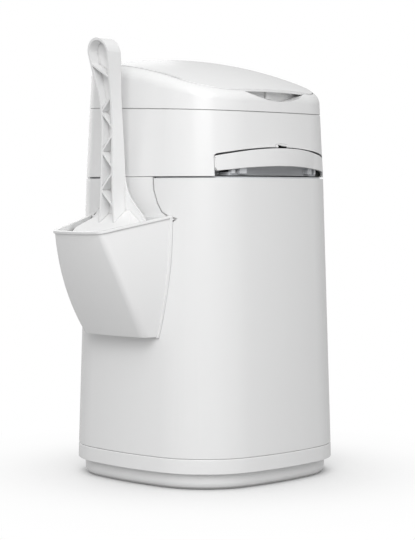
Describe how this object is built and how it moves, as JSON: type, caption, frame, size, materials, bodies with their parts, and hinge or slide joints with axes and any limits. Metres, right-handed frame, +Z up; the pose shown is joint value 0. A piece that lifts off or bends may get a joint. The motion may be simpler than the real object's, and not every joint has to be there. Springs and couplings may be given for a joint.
{
  "type": "litter disposal pail",
  "caption": "White pail for used cat litter: domed flip lid, sealed head with pull-handle jaws over a bin, and a side holder with its scoop.",
  "frame": {"origin": "on the pail's vertical axis, at the underside of its foot, which is the floor", "axes": "+Z up; the front with the pull handle and the finger recess faces -Y; the scoop holder is on the -X side; both hinges lie along X at the rear (+Y)"},
  "size_m": [0.2999, 0.2434, 0.443],
  "materials": {
    "body_white": "satin white moulded plastic",
    "rubber": "soft dark grey rubber",
    "frame_grey": "matt light grey plastic",
    "steel": "bright steel",
    "holder_white": "satin white moulded plastic",
    "head_white": "satin white moulded plastic",
    "cassette_white": "matt pale plastic",
    "film": "gathered thin plastic film",
    "lid_white": "satin white moulded plastic",
    "handle_white": "gloss white moulded plastic",
    "scoop_white": "gloss white moulded plastic"
  },
  "bodies": {
    "base": {"floor_pan": "body_white", "rubber_feet": "rubber", "outer_sleeve": "body_white", "rim_collar": "frame_grey", "head_hinge_pin": "steel", "scoop_holder": "holder_white"},
    "head": {"head_housing": "head_white", "top_cover": "head_white", "cassette_chassis": "frame_grey", "chassis_screws": "steel", "left_rail": "frame_grey", "right_rail": "frame_grey", "cassette_deck": "frame_grey", "refill_cassette": "cassette_white", "gathered_film": "film", "fixed_jaw": "frame_grey", "fixed_jaw_pad": "rubber", "return_springs": "steel", "lid_hinge_pin": "steel"},
    "lid": {"lid_shell": "lid_white", "lid_liner": "lid_white", "lid_seal": "rubber", "lid_catch": "lid_white"},
    "drawer": {"drawer_frame": "frame_grey", "pull_handle": "handle_white", "moving_jaw_pad": "rubber"},
    "button": {"release_button": "handle_white"},
    "scoop": {"scoop_handle": "scoop_white", "scoop_tray": "scoop_white"}
  },
  "joints": [
    {"name": "head_hinge", "type": "hinge", "parent": "base", "child": "head", "pos_m": [0, 0.119, 0.313], "axis": [-1, 0, 0], "range_deg": [0, 100]},
    {"name": "lid_hinge", "type": "hinge", "parent": "head", "child": "lid", "pos_m": [0, 0.0961, 0.4276], "axis": [-1, 0, 0], "range_deg": [0, 100]},
    {"name": "drawer_slide", "type": "slide", "parent": "head", "child": "drawer", "axis": [0, -1, 0], "range_m": [0, 0.06], "stiffness_N_per_m": 120, "springref_m": -0.005, "deforming": ["return_springs"]},
    {"name": "release_press", "type": "slide", "parent": "head", "child": "button", "axis": [0, 1, 0], "range_m": [0, 0.0025], "stiffness_N_per_m": 600},
    {"name": "scoop_lift", "type": "slide", "parent": "base", "child": "scoop", "axis": [0, 0, 1], "range_m": [0, 0.12]}
  ]
}
